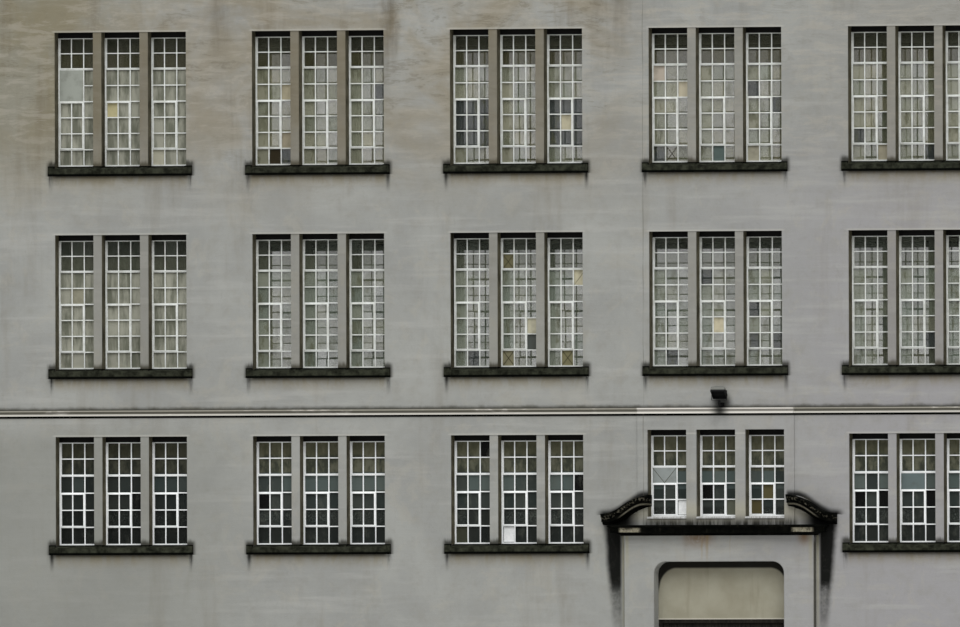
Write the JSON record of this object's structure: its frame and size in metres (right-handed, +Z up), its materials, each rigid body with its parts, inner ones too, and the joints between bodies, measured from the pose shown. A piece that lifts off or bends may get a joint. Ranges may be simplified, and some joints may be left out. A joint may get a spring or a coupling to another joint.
{
  "type": "shoe factory building",
  "caption": "Rendered three-storey factory block with tall windows in threes, long stone sills and a recessed entrance under a broken curved pediment.",
  "frame": {"origin": "middle of the base in plan, on the ground level at the entrance", "axes": "+Z up, the front with the entrance faces -Y, +X to the right seen from the front"},
  "size_m": [23.055, 18.445, 16.01],
  "materials": {
    "wall": "flat cement render",
    "sill": "weathered stone",
    "moulding": "rendered moulding, stained",
    "concrete": "cast concrete",
    "frame": "satin paint",
    "glass": "old window glass",
    "infill": "cream painted render",
    "timber": "white painted timber",
    "door": "dark painted timber",
    "iron": "black ironwork",
    "lamp": "weathered black paint",
    "lens": "dusty glass"
  },
  "bodies": {
    "building": {"back_mullions": "wall", "back_sills": "sill", "back_string_course": "moulding", "back_wall_bands": "wall", "back_wall_piers": "wall", "back_window_frames": "frame", "back_window_glass": "glass", "coping_ends": "concrete", "coping_front_and_back": "concrete", "door_hinges": "iron", "door_posts": "door", "door_top_rail": "door", "entrance_cornice": "moulding", "entrance_floor": "concrete", "entrance_head": "wall", "entrance_jambs": "wall", "entrance_panel": "wall", "entrance_sill_boards": "timber", "entrance_step": "concrete", "first_floor": "concrete", "floodlight_bracket": "lamp", "front_mullions": "wall", "front_sills": "sill", "front_string_course": "moulding", "front_wall_bands": "wall", "front_wall_piers": "wall", "front_window_frames_first": "frame", "front_window_frames_ground": "frame", "front_window_frames_second": "frame", "front_window_glass_first": "glass", "front_window_glass_ground": "glass", "front_window_glass_second": "glass", "ground_floor": "concrete", "party_walls": "wall", "pediment_left": "moulding", "pediment_right": "moulding", "recess_infill": "infill", "roof_slab": "concrete", "second_floor": "concrete", "wall_over_entrance": "wall"},
    "left_leaf": {"door_left": "door"},
    "right_leaf": {"door_right": "door"},
    "floodlight_head": {"floodlight_housing": "lamp", "floodlight_lens": "lens"}
  },
  "joints": [
    {"name": "left_leaf_hinge", "type": "hinge", "parent": "building", "child": "left_leaf", "pos_m": [3.066, -8.579, 1], "axis": [0, 0, 1], "range_deg": [0, 90]},
    {"name": "right_leaf_hinge", "type": "hinge", "parent": "building", "child": "right_leaf", "pos_m": [5.714, -8.579, 1], "axis": [0, 0, -1], "range_deg": [0, 90]},
    {"name": "floodlight_tilt", "type": "hinge", "parent": "building", "child": "floodlight_head", "pos_m": [4.43, -9.18, 6.915], "axis": [1, 0, 0], "range_deg": [-45, 25]}
  ]
}
